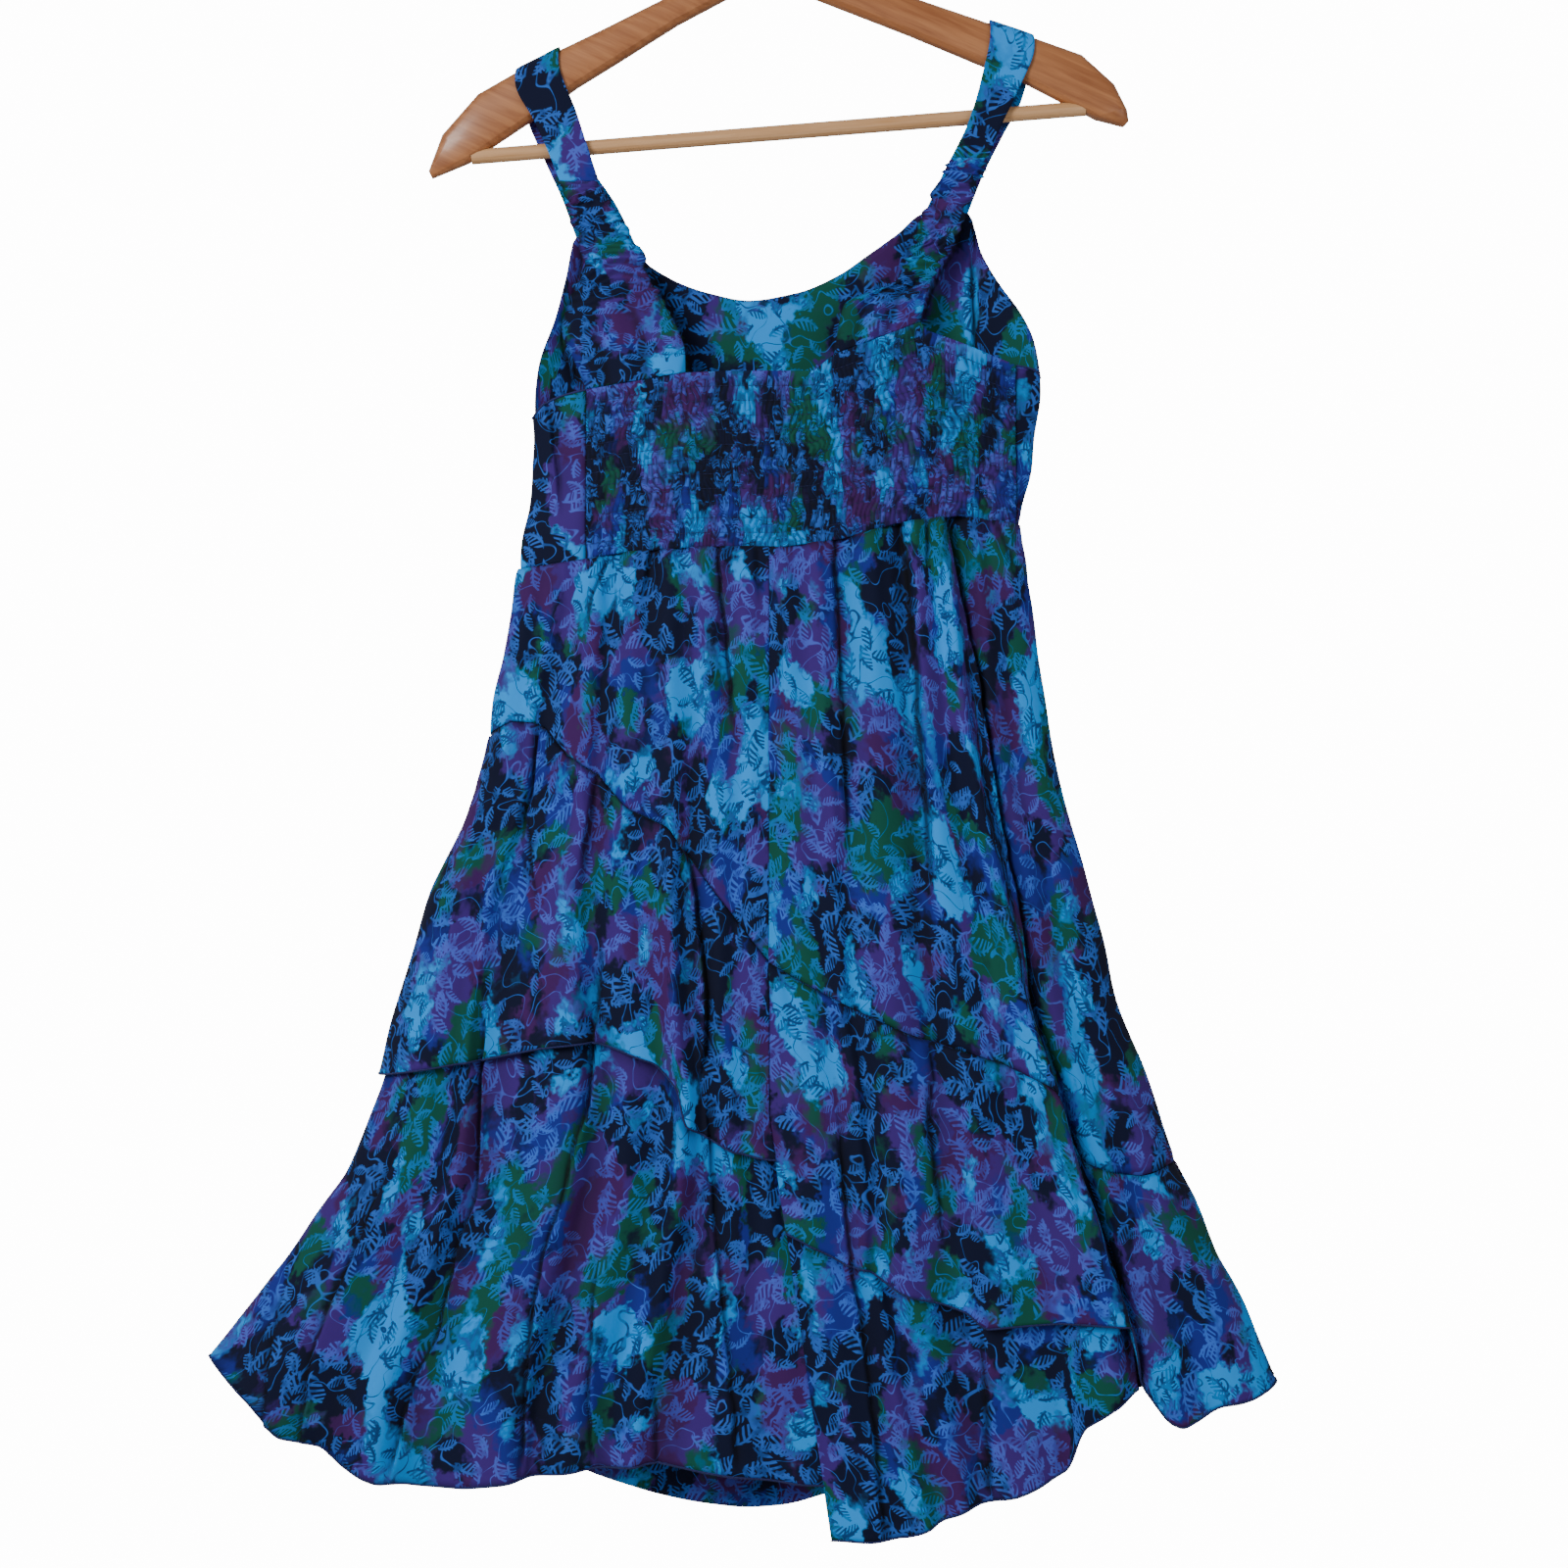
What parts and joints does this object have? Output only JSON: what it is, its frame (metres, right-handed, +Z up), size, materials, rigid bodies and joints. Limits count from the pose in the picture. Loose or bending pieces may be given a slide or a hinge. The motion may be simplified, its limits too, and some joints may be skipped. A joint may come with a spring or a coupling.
{
  "type": "sundress + hanger",
  "caption": "Blue, teal and violet batik sundress with a shirred back, ruched back straps and slanting gathered tiers, hanging by its straps from a varnished wooden hanger",
  "frame": {"origin": "inside top of the hanger hook's crook, where it hangs on a rail", "axes": "+Z up, +Y towards the front of the dress, so its shirred back, which the picture shows, faces -Y; +X to the right as seen in the picture"},
  "size_m": [0.6789, 0.1062, 1.0731],
  "materials": {
    "cotton_blue": "matte",
    "cotton_teal": "matte",
    "cotton_violet": "matte",
    "beech": "varnished",
    "pine": "satin",
    "steel": "polished"
  },
  "bodies": {
    "root": {"back_panel": "cotton_blue", "front_bodice": "cotton_violet", "front_strap_left": "cotton_violet", "front_strap_right": "cotton_teal", "back_strap_left": "cotton_blue", "back_strap_right": "cotton_teal", "upper_skirt_back_left": "cotton_blue", "upper_skirt_back_right": "cotton_blue", "upper_skirt_front": "cotton_blue", "upper_flounce_back_left": "cotton_violet", "upper_flounce_back_right": "cotton_violet", "upper_flounce_front": "cotton_violet", "lower_tier_back_left": "cotton_blue", "lower_tier_back_right": "cotton_blue", "lower_tier_front": "cotton_blue", "hanger_arms": "beech", "hanger_bar": "pine", "hanger_hook": "steel"}
  },
  "joints": []
}
